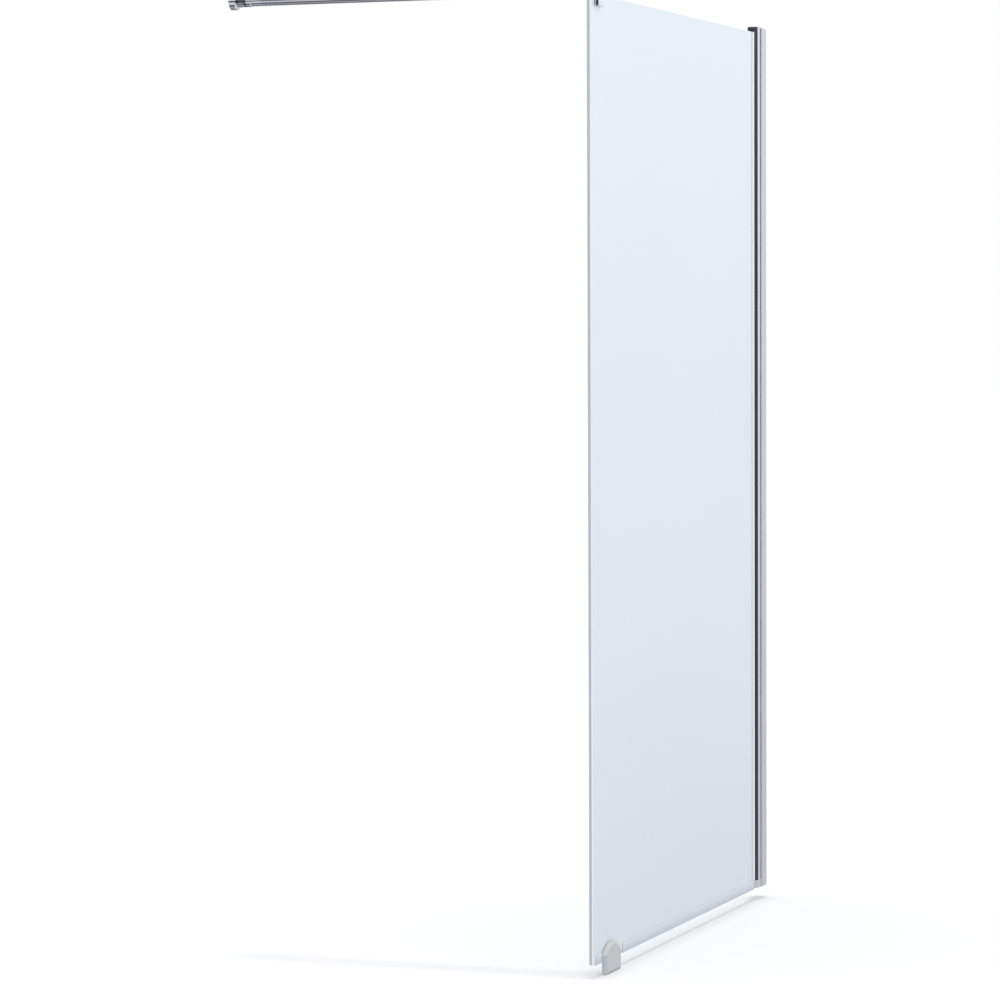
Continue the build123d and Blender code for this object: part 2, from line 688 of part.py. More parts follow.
with BuildPart() as clamp_outer_pad:
    with BuildSketch(Plane.XZ.offset(half_glass)):
        with Locations((clamp_x, glass_top - clamp_grip / 2)):
            Rectangle(clamp_width - pad_inset, clamp_grip - pad_inset)
    extrude(amount=pad_thickness)
clamp_outer_pad.part.label = "clamp_outer_pad"
export_step(clamp_outer_pad.part, "parts/clamp_outer_pad.step")

with BuildPart() as clamp_inner_pad:
    with BuildSketch(Plane.XZ.offset(-half_glass)):
        with Locations((clamp_x, clamp_screw_z)):
            Rectangle(plate_width, plate_height)
    extrude(amount=-pad_thickness)
clamp_inner_pad.part.label = "clamp_inner_pad"
export_step(clamp_inner_pad.part, "parts/clamp_inner_pad.step")

with BuildPart() as clamp_top_pad:
    with BuildSketch(Plane.XY.offset(glass_top)):
        with Locations((clamp_x, 0)):
            Rectangle(clamp_width - pad_inset, glass_thickness)
    extrude(amount=pad_thickness)
clamp_top_pad.part.label = "clamp_top_pad"
export_step(clamp_top_pad.part, "parts/clamp_top_pad.step")

# Clamp's grub screws, with hexagon sockets
with BuildPart() as clamp_screws:
    with BuildSketch(Plane.XZ.offset(-clamp_inner_face + clamp_screw_gap)):
        with Locations((clamp_x, clamp_screw_z)):
            with GridLocations(clamp_screw_spacing, 1, 2, 1):
                Circle(clamp_screw_radius)
    extrude(amount=clamp_inner_jaw - clamp_screw_gap)
    with BuildSketch(Plane.XZ.offset(-clamp_inner_face + clamp_screw_gap)):
        with Locations((clamp_x, clamp_screw_z)):
            with GridLocations(clamp_screw_spacing, 1, 2, 1):
                RegularPolygon(clamp_screw_radius * 0.6, 6)
    extrude(amount=clamp_inner_jaw * 0.5, mode=Mode.SUBTRACT)
clamp_screws.part.label = "clamp_screws"
export_step(clamp_screws.part, "parts/clamp_screws.step")

clamp_pivot_screw = pivot_screw(clamp_pivot_y)
clamp_pivot_screw.part.label = "clamp_pivot_screw"
export_step(clamp_pivot_screw.part, "parts/clamp_pivot_screw.step")

clamp_washers = knuckle_washers(clamp_pivot_y)
clamp_washers.part.label = "clamp_washers"
export_step(clamp_washers.part, "parts/clamp_washers.step")

# Bar tube, from the clamp's knuckle to the adjusting sleeve
with BuildPart() as bar_tube:
    with BuildSketch(along_y(tube_start)):
        Circle(bar_radius)
        Circle(bar_bore, mode=Mode.SUBTRACT)
    extrude(amount=tube_end - tube_start)
    with BuildSketch(Plane.XY.offset(bar_z)):
        with Locations((clamp_x, plug_screw_y), (clamp_x, lock_screw_y)):
            Circle(grub_radius + grub_gap)
    extrude(amount=-2 * bar_radius, mode=Mode.SUBTRACT)
bar_tube.part.label = "bar_tube"
export_step(bar_tube.part, "parts/bar_tube.step")

bar_end_plug = knuckle_plug(clamp_pivot_y, 1, bar_bore - fit_gap, plug_length, plug_screw_y)
bar_end_plug.part.label = "bar_end_plug"
export_step(bar_end_plug.part, "parts/bar_end_plug.step")

plug_grub_screw = grub_screw(plug_screw_y, bar_radius, rod_radius - grub_bite)
plug_grub_screw.part.label = "plug_grub_screw"
export_step(plug_grub_screw.part, "parts/plug_grub_screw.step")

lock_grub_screw = grub_screw(lock_screw_y, bar_radius, rod_radius - key_depth + fit_gap)
lock_grub_screw.part.label = "lock_grub_screw"
export_step(lock_grub_screw.part, "parts/lock_grub_screw.step")

# Sliding rod, with a groove underneath that the lock screw runs in
groove_start = lock_screw_y - bar_travel - grub_radius - swing_gap
groove_end = lock_screw_y + grub_radius + swing_gap
with BuildPart() as bar_rod:
    with BuildSketch(along_y(rod_start)):
        Circle(rod_radius)
        Circle(rod_bore, mode=Mode.SUBTRACT)
    extrude(amount=sleeve_end - rod_start)
    with BuildSketch(Plane.XY.offset(bar_z - rod_radius + key_depth)):
        with Locations((clamp_x, (groove_start + groove_end) / 2)):
            Rectangle(2 * (grub_radius + grub_gap), groove_end - groove_start)
    extrude(amount=-rod_radius, mode=Mode.SUBTRACT)
    with BuildSketch(Plane.XY.offset(bar_z)):
        with Locations((clamp_x, sleeve_screw_y)):
            Circle(grub_radius + grub_gap)
    extrude(amount=-rod_radius, mode=Mode.SUBTRACT)
bar_rod.part.label = "bar_rod"
export_step(bar_rod.part, "parts/bar_rod.step")

# Plastic glide on the rod's inner end
with BuildPart() as rod_glide:
    with BuildSketch(along_y(rod_start, -1)):
        Circle(rod_radius)
    extrude(amount=glide_length)
    chamfer(rod_glide.faces().sort_by(Axis.Y)[0].edges(), 1.0)
    with BuildSketch(along_y(rod_start)):
        Circle(rod_bore - fit_gap)
    extrude(amount=glide_spigot)
rod_glide.part.label = "rod_glide"
export_step(rod_glide.part, "parts/rod_glide.step")

# Adjusting sleeve, fixed on the rod against the bar tube's end
with BuildPart() as adjusting_sleeve:
    with BuildSketch(along_y(tube_end + swing_gap / 2)):
        Circle(bar_radius + sleeve_proud)
        Circle(bar_bore, mode=Mode.SUBTRACT)
    extrude(amount=sleeve_length - swing_gap / 2)
    with BuildSketch(Plane.XY.offset(bar_z)):
        with Locations((clamp_x, sleeve_screw_y)):
            Circle(grub_radius + grub_gap)
    extrude(amount=-2 * bar_radius, mode=Mode.SUBTRACT)
adjusting_sleeve.part.label = "adjusting_sleeve"
export_step(adjusting_sleeve.part, "parts/adjusting_sleeve.step")

sleeve_grub_screw = grub_screw(sleeve_screw_y, bar_radius + sleeve_proud, rod_bore - fit_gap - grub_bite)
sleeve_grub_screw.part.label = "sleeve_grub_screw"
export_step(sleeve_grub_screw.part, "parts/sleeve_grub_screw.step")

rod_knuckle = knuckle_plug(flange_pivot_y, -1, rod_bore - fit_gap, plug_length, sleeve_screw_y)
rod_knuckle.part.label = "rod_knuckle"
export_step(rod_knuckle.part, "parts/rod_knuckle.step")

# Flange at the facing wall: a base, and a neck with the fork of the second knuckle
flange_fork_cutter = fork_cutter(flange_pivot_y, -1)
with BuildPart() as flange_neck:
    with BuildSketch(along_y(bar_reach, -1)):
        Circle(flange_base_radius)
    extrude(amount=flange_base_thickness)
    with BuildSketch(along_y(bar_reach, -1)):
        Circle(knuckle_radius)
    extrude(amount=flange_pivot_out + knuckle_radius)
    with BuildSketch(along_y(bar_reach, -1)):
        Circle(wall_stud_radius)
    extrude(amount=wall_stud_depth, mode=Mode.SUBTRACT)
    add(flange_fork_cutter, mode=Mode.SUBTRACT)
flange_neck.part.label = "flange_neck"
export_step(flange_neck.part, "parts/flange_neck.step")

flange_pivot_screw = pivot_screw(flange_pivot_y)
flange_pivot_screw.part.label = "flange_pivot_screw"
export_step(flange_pivot_screw.part, "parts/flange_pivot_screw.step")

flange_washers = knuckle_washers(flange_pivot_y)
flange_washers.part.label = "flange_washers"
export_step(flange_washers.part, "parts/flange_washers.step")

# Rosette: a round cover that slides along the neck and hides the flange's base
o_ring_y = bar_reach - rosette_depth + rosette_front / 2
o_ring_radius = knuckle_radius + o_ring_gap + o_ring_wire
with BuildPart() as rosette:
    with BuildSketch(along_y(bar_reach, -1)):
        Circle(rosette_radius)
    extrude(amount=rosette_depth)
    fillet(rosette.faces().sort_by(Axis.Y)[0].edges(), rosette_front_round)
    fillet(rosette.faces().sort_by(Axis.Y)[-1].edges(), rosette_back_round)
    with BuildSketch(along_y(bar_reach, -1)):
        Circle(rosette_radius - rosette_wall)
    extrude(amount=rosette_depth - rosette_front, mode=Mode.SUBTRACT)
    with BuildSketch(along_y(bar_reach, -1)):
        Circle(neck_bore)
    extrude(amount=rosette_depth, mode=Mode.SUBTRACT)
    with BuildSketch(along_y(o_ring_y + o_ring_wire, -1)):
        Circle(o_ring_radius + o_ring_wire)
    extrude(amount=2 * o_ring_wire, mode=Mode.SUBTRACT)
rosette.part.label = "rosette"
export_step(rosette.part, "parts/rosette.step")

# Rubber ring in the rosette's bore, which holds it on the neck
with BuildPart() as rosette_ring:
    with Locations(along_y(o_ring_y)):
        Torus(o_ring_radius, o_ring_wire)
rosette_ring.part.label = "rosette_ring"
export_step(rosette_ring.part, "parts/rosette_ring.step")
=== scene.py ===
# %% [markdown]
# # A fixed shower screen
# One tall pane of toughened glass stands between a wall channel, a small foot on
# the floor and a round bar that braces its top edge to the facing wall. The packed
# CAD model gives every size and joint, so this file loads it as a fixed frame and
# spends its lines on what the eye sees: glass, chrome, aluminium and soft plastic.

# %% Load the frame
import json
import math
import bmesh
import bpy
from mathutils import Matrix, Vector


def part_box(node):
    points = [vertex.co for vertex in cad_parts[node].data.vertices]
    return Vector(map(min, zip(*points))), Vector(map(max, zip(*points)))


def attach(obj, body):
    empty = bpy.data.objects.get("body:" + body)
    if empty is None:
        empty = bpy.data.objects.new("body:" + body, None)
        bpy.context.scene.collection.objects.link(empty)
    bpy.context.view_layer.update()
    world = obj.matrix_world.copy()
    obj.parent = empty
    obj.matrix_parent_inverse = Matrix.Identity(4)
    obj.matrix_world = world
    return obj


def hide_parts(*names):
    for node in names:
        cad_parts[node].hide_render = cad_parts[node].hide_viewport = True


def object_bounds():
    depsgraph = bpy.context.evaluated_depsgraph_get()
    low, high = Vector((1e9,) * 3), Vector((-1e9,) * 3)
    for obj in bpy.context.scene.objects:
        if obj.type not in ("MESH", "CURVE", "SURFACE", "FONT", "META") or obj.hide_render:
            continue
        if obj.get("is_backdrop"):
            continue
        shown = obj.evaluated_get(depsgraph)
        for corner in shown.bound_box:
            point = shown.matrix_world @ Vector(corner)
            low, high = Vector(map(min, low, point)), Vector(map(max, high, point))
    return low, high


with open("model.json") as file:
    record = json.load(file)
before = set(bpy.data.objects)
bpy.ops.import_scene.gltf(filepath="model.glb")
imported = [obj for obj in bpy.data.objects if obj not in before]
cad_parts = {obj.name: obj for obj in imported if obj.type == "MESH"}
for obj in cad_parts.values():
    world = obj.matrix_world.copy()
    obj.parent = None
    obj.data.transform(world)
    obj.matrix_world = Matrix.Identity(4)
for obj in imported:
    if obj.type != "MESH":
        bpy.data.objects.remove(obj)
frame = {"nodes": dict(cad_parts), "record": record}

nodes = frame["nodes"]
bodies = frame["record"]["behaviour"]["bodies"]
body_of_node = {name: body for body, names in bodies.items() for name in names}
cad_low, cad_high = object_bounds()
MM = 0.001
print("CAD box in metres:", [round(v, 4) for v in cad_low], [round(v, 4) for v in cad_high])

# %% [markdown]
# ## Camera
# The picture was taken almost along the glass, from the free edge and a little
# towards the outer face, with a long lens. The place and angles below come from
# fitting the CAD edges to the edges in the picture. The lens is long enough that
# upright lines stay nearly parallel, which is what makes the pane look so slim.

# %% Camera at the photograph's viewpoint
CAMERA_PLACE = Vector((-8.50940, -2.50646, 1.28256))
YAW, PITCH, ROLL = 69.7446, -2.5818, -0.2125
FOCAL_IN_WIDTHS = 3.88123

scene = bpy.context.scene
camera_data = bpy.data.cameras.new("photo_camera")
camera_data.sensor_width = 36.0
camera_data.lens = FOCAL_IN_WIDTHS * camera_data.sensor_width
camera_data.clip_start = 0.1
camera_data.clip_end = 200.0
camera = bpy.data.objects.new("photo_camera", camera_data)
scene.collection.objects.link(camera)
camera.matrix_world = (
    Matrix.Translation(CAMERA_PLACE)
    @ Matrix.Rotation(math.radians(-YAW), 4, "Z")
    @ Matrix.Rotation(math.radians(90.0 + PITCH), 4, "X")
    @ Matrix.Rotation(math.radians(ROLL), 4, "Z")
)
scene.camera = camera
scene.view_settings.view_transform = "Standard"
print("camera lens", round(camera_data.lens, 1), "mm")

# %% [markdown]
# ## Helpers for node trees
# Materials, the world and Geometry Nodes are all node trees. One function adds any
# node: settings are its Python attributes, and each input is either a value or
# another node's output, which becomes a link. A second one turns the hex colours
# that people read into the linear values that Blender computes with. A Mix node set to
# colours keeps its two inputs and its output at the socket numbers named here.

# %% One function that adds a node, and one for colours
MIX_A, MIX_B, MIXED = 6, 7, 2
WHITE = (1.0, 1.0, 1.0, 1.0)


def add_node(tree, kind, inputs=None, **settings):
    node = tree.nodes.new(kind)
    for name, value in settings.items():
        setattr(node, name, value)
    for key, value in (inputs or {}).items():
        if isinstance(value, bpy.types.NodeSocket):
            tree.links.new(value, node.inputs[key])
        else:
            node.inputs[key].default_value = value
    return node


def linear(hex_colour):
    parts = [int(hex_colour[i:i + 2], 16) / 255 for i in (1, 3, 5)]
    return [c / 12.92 if c <= 0.04045 else ((c + 0.055) / 1.055) ** 2.4 for c in parts] + [1.0]


print("mid grey #808080 is", round(linear("#808080")[0], 3), "in linear light")

# %% [markdown]
# ## Studio light
# Polished metal shows the room and not its own colour. The room here is a white
# studio with a bright window wall ahead and a dark stretch at eye level everywhere
# else, over a floor that is seen in bands of grey. The dark stretch draws the black
# line down the round nose of the channel, and the bands give the bar its underside.
# Two colour ramps over the height of a direction say it all, and a compass heading
# picks between them. Only reflections see this room. The camera, and rays that have
# passed through the glass, see plain white, and matt surfaces get even light.

# %% World: even light, white background, a banded room for reflections
ROOM_BANDS = [
    (-1.00, "#BEBFC4"), (-0.93, "#B4B5BA"), (-0.84, "#60636A"), (-0.72, "#666970"), (-0.60, "#DADBDF"),
    (-0.22, "#DCDDE1"), (-0.16, "#44484F"), (0.09, "#42464D"), (0.16, "#E6E7EA"), (1.00, "#F6F7FA"),
]
WINDOW_BANDS = [
    (-1.00, "#A6A7AC"), (-0.50, "#BDBEC3"), (-0.16, "#CED0D6"), (0.08, "#F8F9FC"), (1.00, "#F8F9FC"),
]
WINDOW_HEADING_DEG = -6.0
WINDOW_FADES_FROM_DEG, WINDOW_FULL_BY_DEG = 38, 24
EVEN_LIGHT = (0.86, 0.86, 0.87, 1.0)

world = bpy.data.worlds.new("white_studio")
scene.world = world
world.use_nodes = True
tree = world.node_tree
tree.nodes.clear()
direction = add_node(tree, "ShaderNodeTexCoord").outputs["Generated"]
parts = add_node(tree, "ShaderNodeSeparateXYZ", {"Vector": direction})
height = add_node(
    tree, "ShaderNodeMapRange", {"Value": parts.outputs["Z"], "From Min": -1.0, "From Max": 1.0}
)
seen_bands = []
for bands in (ROOM_BANDS, WINDOW_BANDS):
    ramp = add_node(tree, "ShaderNodeValToRGB", {"Fac": height.outputs[0]})
    stops = ramp.color_ramp.elements
    stops[0].position, stops[0].color = (bands[0][0] + 1) / 2, linear(bands[0][1])
    stops[1].position, stops[1].color = (bands[-1][0] + 1) / 2, linear(bands[-1][1])
    for level, shade in bands[1:-1]:
        stops.new((level + 1) / 2).color = linear(shade)
    seen_bands.append(ramp.outputs[0])
window_turn = math.radians(WINDOW_HEADING_DEG)
window_heading = (math.cos(window_turn), math.sin(window_turn), 0.0)
flat = add_node(tree, "ShaderNodeVectorMath", {0: direction, 1: (1.0, 1.0, 0.0)}, operation="MULTIPLY")
heading = add_node(tree, "ShaderNodeVectorMath", {0: flat.outputs[0]}, operation="NORMALIZE")
toward_window = add_node(
    tree, "ShaderNodeVectorMath", {0: heading.outputs[0], 1: window_heading}, operation="DOT_PRODUCT"
)
window = add_node(
    tree, "ShaderNodeMapRange",
    {
        "Value": toward_window.outputs["Value"],
        "From Min": math.cos(math.radians(WINDOW_FADES_FROM_DEG)),
        "From Max": math.cos(math.radians(WINDOW_FULL_BY_DEG)),
    },
    interpolation_type="SMOOTHSTEP",
)
room = add_node(
    tree, "ShaderNodeMix", {0: window.outputs[0], MIX_A: seen_bands[0], MIX_B: seen_bands[1]},
    data_type="RGBA",
)
ray = add_node(tree, "ShaderNodeLightPath")
seen = add_node(
    tree, "ShaderNodeMath", {0: ray.outputs["Is Camera Ray"], 1: ray.outputs["Is Transmission Ray"]},
    operation="MAXIMUM",
)
light_or_room = add_node(
    tree, "ShaderNodeMix",
    {0: ray.outputs["Is Glossy Ray"], MIX_A: EVEN_LIGHT, MIX_B: room.outputs[MIXED]}, data_type="RGBA",
)
background_colour = add_node(
    tree, "ShaderNodeMix",
    {0: seen.outputs[0], MIX_A: light_or_room.outputs[MIXED], MIX_B: WHITE}, data_type="RGBA",
)
background = add_node(
    tree, "ShaderNodeBackground", {"Color": background_colour.outputs[MIXED], "Strength": 1.0}
)
add_node(tree, "ShaderNodeOutputWorld", {"Surface": background.outputs[0]})
print("world nodes:", len(tree.nodes))

# %% [markdown]
# A sun stands straight overhead. Its light is as strong all over the floor, so the
# floor stays one even white, and it looks along the pane, so the pane's shadow is only
# a soft grey line where it stands. Reflections leave the sun out, because its small
# hot disc would show as sparks on the chrome.

# %% One soft sun
SUN_STRENGTH = 1.3
SUN_DISC_DEG = 3
sun_data = bpy.data.lights.new("soft_ceiling", "SUN")
sun_data.energy = SUN_STRENGTH
sun_data.angle = math.radians(SUN_DISC_DEG)
sun = bpy.data.objects.new("soft_ceiling", sun_data)
scene.collection.objects.link(sun)
sun.visible_glossy = False
print("sun strength", SUN_STRENGTH)

# %% [markdown]
# ## Floor
# The floor is a pale plane. Seen directly it has to come out white and still hold the
# contact shadow, so most of its white is a pale matt surface and the rest is a faint
# glow: the sum is white, and a shadow takes away from the matt part. Reflections look
# through it to the banded room, so polished metal near the floor stays crisp.

# %% Pale floor
FLOOR_Z = cad_low[2]
FLOOR_REACH = 60.0
FLOOR_GLOW = 0.16
mesh = bpy.data.meshes.new("floor")
corners = [(x * FLOOR_REACH, y * FLOOR_REACH, FLOOR_Z) for x, y in ((-1, -1), (1, -1), (1, 1), (-1, 1))]
mesh.from_pydata(corners, [], [(0, 1, 2, 3)])
floor = bpy.data.objects.new("floor", mesh)
scene.collection.objects.link(floor)
material = bpy.data.materials.new("matt_floor")
material.use_nodes = True
tree = material.node_tree
tree.nodes.clear()
grey = add_node(tree, "ShaderNodeBsdfDiffuse", {"Color": linear("#DADBDC")})
glow = add_node(tree, "ShaderNodeEmission", {"Color": WHITE, "Strength": FLOOR_GLOW})
pale = add_node(tree, "ShaderNodeAddShader", {0: grey.outputs[0], 1: glow.outputs[0]})
unseen = add_node(tree, "ShaderNodeBsdfTransparent")
ray = add_node(tree, "ShaderNodeLightPath")
shown = add_node(
    tree, "ShaderNodeMixShader", {0: ray.outputs["Is Glossy Ray"], 1: pale.outputs[0], 2: unseen.outputs[0]}
)
add_node(tree, "ShaderNodeOutputMaterial", {"Surface": shown.outputs[0]})
mesh.materials.append(material)
floor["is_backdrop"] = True
print("floor at z =", round(FLOOR_Z, 4))

# %% [markdown]
# ## Materials
# Every finish starts from a Principled shader with the values that are the same all
# over set on its sockets. What varies, such as polishing marks or a cloudy streak,
# comes from noise in object coordinates, so it stays put on the piece.

# %% The start of every material
def start_material(name, **values):
    made = bpy.data.materials.new(name)
    made.use_nodes = True
    made.node_tree.nodes.clear()
    inputs = {key.replace("_", " "): value for key, value in values.items()}
    shader = add_node(made.node_tree, "ShaderNodeBsdfPrincipled", inputs)
    add_node(made.node_tree, "ShaderNodeOutputMaterial", {"Surface": shader.outputs[0]})
    place = add_node(made.node_tree, "ShaderNodeTexCoord").outputs["Object"]
    return made, made.node_tree, shader, place


materials = {}
print("every finish starts from a Principled shader")

# %% [markdown]
# **Chrome plate** covers the clamp, the bar and its ends. Electroplated chrome is
# near-perfect mirror metal. Buffing leaves a faint cloudiness about 4 mm across,
# which shows as a small change in roughness and a very shallow ripple. The drawn tube
# is a little duller than the castings, and the foot is blasted with glass beads before
# plating, so it takes on the pale tone of the floor and shows no mirror image.

# %% Chrome plate: polished, on drawn tube, blasted, and on plastic
def chrome_finish(name, colour, smooth, dull, ripple_mm, ripple_mm_deep):
    made, tree, shader, place = start_material(name, Metallic=1.0)
    cloud = add_node(
        tree, "ShaderNodeTexNoise", {"Vector": place, "Scale": 1000 / ripple_mm, "Detail": 3.0}
    )
    tone = add_node(
        tree, "ShaderNodeMix", {0: cloud.outputs[0], MIX_A: linear(colour[0]), MIX_B: linear(colour[1])},
        data_type="RGBA",
    )
    sheen = add_node(
        tree, "ShaderNodeMapRange", {"Value": cloud.outputs[0], "To Min": smooth, "To Max": dull}
    )
    ripple = add_node(
        tree, "ShaderNodeBump",
        {"Height": cloud.outputs[0], "Strength": 0.15, "Distance": ripple_mm_deep * MM},
    )
    tree.links.new(tone.outputs[MIXED], shader.inputs["Base Color"])
    tree.links.new(sheen.outputs[0], shader.inputs["Roughness"])
    tree.links.new(ripple.outputs[0], shader.inputs["Normal"])
    return made


materials["chromed_metal"] = chrome_finish("chrome_plate", ("#E6E7EA", "#F0F1F3"), 0.03, 0.08, 4.0, 0.02)
materials["chromed_tube"] = chrome_finish("chromed_tube", ("#D6D7DA", "#E0E1E4"), 0.14, 0.20, 4.0, 0.02)
materials["blasted_chrome"] = chrome_finish("blasted_chrome", ("#F6F7F8", "#FCFDFD"), 0.86, 0.94, 1.2, 0.01)
materials["chromed_cap"] = chrome_finish("chromed_abs", ("#CFD0D4", "#DCDDE1"), 0.06, 0.12, 6.0, 0.04)
print("chrome finishes:", [m.name for m in materials.values()])

# %% [markdown]
# **Anodised aluminium** makes both channels. The metal is pushed through a die, which
# leaves hair lines along its length, and the clear oxide film softens the polish.
# Noise squeezed across and drawn out along Z gives those lines. Real ones are about
# 0.1 mm apart, too fine to show, so they are drawn at about 0.6 mm. The channel round
# the glass is polished before anodising, and the wall channel is left satin.

# %% Anodised aluminium, bright and satin
DIE_LINE_MM = 0.6


def anodised(name, low, high, smooth, dull):
    made, tree, shader, place = start_material(name, Metallic=1.0)
    drawn = add_node(
        tree, "ShaderNodeMapping", {"Vector": place, "Scale": (1000 / DIE_LINE_MM, 1000 / DIE_LINE_MM, 1.5)}
    )
    lines = add_node(tree, "ShaderNodeTexNoise", {"Vector": drawn.outputs[0], "Scale": 1.0, "Detail": 2.0})
    film = add_node(tree, "ShaderNodeTexNoise", {"Vector": place, "Scale": 9.0, "Detail": 2.0})
    tone = add_node(
        tree, "ShaderNodeMix", {0: film.outputs[0], MIX_A: linear(low), MIX_B: linear(high)},
        data_type="RGBA",
    )
    sheen = add_node(
        tree, "ShaderNodeMapRange", {"Value": lines.outputs[0], "To Min": smooth, "To Max": dull}
    )
    hair = add_node(
        tree, "ShaderNodeBump", {"Height": lines.outputs[0], "Strength": 0.1, "Distance": 0.01 * MM}
    )
    tree.links.new(tone.outputs[MIXED], shader.inputs["Base Color"])
    tree.links.new(sheen.outputs[0], shader.inputs["Roughness"])
    tree.links.new(hair.outputs[0], shader.inputs["Normal"])
    return made


materials["bright_profile"] = anodised("bright_anodised_aluminium", "#DBDBE3", "#E6E7EF", 0.06, 0.14)
materials["satin_profile"] = anodised("satin_anodised_aluminium", "#E4E4EC", "#EEEEF5", 0.30, 0.40)
materials["matt_lip"] = anodised("blasted_aluminium_lip", "#F2F2F6", "#FAFAFC", 0.82, 0.92)
print("die lines drawn at", DIE_LINE_MM, "mm")

# %% [markdown]
# **Plastics and rubber.** The lower end cap is light grey moulded ABS with a fine
# spark-eroded grain. Pads are dark rubber with a dusty bloom, the strips under the
# foot are a paler rubber, and washers are natural nylon. One function makes them,
# because each is a coat of colour with a grain of its own size.

# %% Moulded plastics and rubber
def moulded(name, low, high, grain_mm, roughness, **values):
    made, tree, shader, place = start_material(name, Roughness=roughness, **values)
    grain = add_node(tree, "ShaderNodeTexNoise", {"Vector": place, "Scale": 1000 / grain_mm, "Detail": 2.0})
    drift = add_node(tree, "ShaderNodeTexNoise", {"Vector": place, "Scale": 25.0, "Detail": 1.0})
    tone = add_node(
        tree, "ShaderNodeMix", {0: drift.outputs[0], MIX_A: linear(low), MIX_B: linear(high)},
        data_type="RGBA",
    )
    skin = add_node(
        tree, "ShaderNodeBump", {"Height": grain.outputs[0], "Strength": 0.2, "Distance": 0.05 * MM}
    )
    tree.links.new(tone.outputs[MIXED], shader.inputs["Base Color"])
    tree.links.new(skin.outputs[0], shader.inputs["Normal"])
    return made


materials["grey_cap"] = moulded("grey_abs", "#C2C4CA", "#CDCFD5", 0.5, 0.35, IOR=1.53)
materials["rubber_pad"] = moulded("black_rubber", "#3A3B3E", "#4A4B4E", 0.6, 0.65, IOR=1.52)
materials["pale_rubber"] = moulded("grey_rubber", "#CACCCF", "#D6D8DA", 0.6, 0.6, IOR=1.52)
materials["nylon"] = moulded("natural_nylon", "#DEDDD6", "#EAE9E3", 0.8, 0.45, IOR=1.53)
materials["steel"] = chrome_finish("stainless_steel", ("#A9ABAF", "#B9BBBF"), 0.22, 0.34, 0.8, 0.02)
print("finishes so far:", sorted(materials))

# %% [markdown]
# ** Clear soft PVC** makes the seals. It is slightly milky, so it scatters light. Its
# colour is painted shade, darker at the bottom of the U and paler upwards along its
# two lips; height in object coordinates drives that, over the 20 mm of the seal. The
# wedges beside the glass are the same plastic, given a faint painted glow that makes
# them paler.

# %% Clear soft PVC
SEAL_FOOT_MM, SEAL_LIP_MM = -2.5, 17.5
made, tree, shader, place = start_material("clear_soft_pvc", Roughness=0.35, IOR=1.53)
up = add_node(tree, "ShaderNodeSeparateXYZ", {"Vector": place})
# painted shade: the seal's colour is darker at the bottom and paler up towards its lips
painted_seal_shade = add_node(
    tree, "ShaderNodeMapRange",
    {"Value": up.outputs["Z"], "From Min": SEAL_FOOT_MM * MM, "From Max": SEAL_LIP_MM * MM},
)
cloud = add_node(tree, "ShaderNodeTexNoise", {"Vector": place, "Scale": 40.0, "Detail": 2.0})
mix = add_node(
    tree, "ShaderNodeMath", {0: cloud.outputs[0], 1: 0.15, 2: painted_seal_shade.outputs[0]}, operation="MULTIPLY_ADD"
)
tone = add_node(
    tree, "ShaderNodeMix", {0: mix.outputs[0], MIX_A: linear("#C6CBD6"), MIX_B: linear("#DEE2EA")},
    data_type="RGBA",
)
skin = add_node(
    tree, "ShaderNodeBump", {"Height": cloud.outputs[0], "Strength": 0.1, "Distance": 0.1 * MM}
)
tree.links.new(tone.outputs[MIXED], shader.inputs["Base Color"])
tree.links.new(skin.outputs[0], shader.inputs["Normal"])
materials["clear_seal"] = made
# painted light: the wedges glow faintly, though they are no lamp, to make them paler
materials["clear_gasket"] = moulded(
    "clear_wedge_pvc_painted_glow", "#F4F6F8", "#FBFCFD", 1.5, 0.30, IOR=1.53, Emission_Color=WHITE,
    Emission_Strength=0.22,
)
print("seal colours run over", SEAL_LIP_MM - SEAL_FOOT_MM, "mm of height")

# %% [markdown]
# ** Toughened glass.** Clear float glass is nearly invisible face on, but a pane seen
# along its surface turns into a pale sheet: the reflection from both faces grows
# until it hides what is behind. Layer Weight follows that angle, and hands over from
# clear, faintly blue-green glass to a pale matt colour, a painted reflection that
# stands for that sheen. The colour is painted darker towards the floor, painted shade
# for the darker floor that the lower pane reflects, with slow clouds half a metre
# across, because real float glass is never perfectly even. The cut edges are ground
# matt, so they are a material of their own.

# %% Glass faces and ground edges
GLASS_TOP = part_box("glass_panel")[1][2]
CLEAR_UP_TO, PAINTED_SHEEN_FROM = 0.30, 0.60
MOST_CLEAR = 0.94
made, tree, shader, place = start_material("clear_toughened_glass", Roughness=0.03, IOR=1.5)
# painted reflection: at grazing angles transmission falls away and the pale base colour stands in for the
# reflection from both faces
angle = add_node(tree, "ShaderNodeLayerWeight", {"Blend": 0.5})
clear = add_node(
    tree, "ShaderNodeMapRange",
    {
        "Value": angle.outputs["Facing"], "From Min": CLEAR_UP_TO, "From Max": PAINTED_SHEEN_FROM,
        "To Min": MOST_CLEAR, "To Max": 0.0,
    },
    interpolation_type="SMOOTHSTEP",
)
wave = add_node(tree, "ShaderNodeTexNoise", {"Vector": place, "Scale": 1.5, "Detail": 1.0})
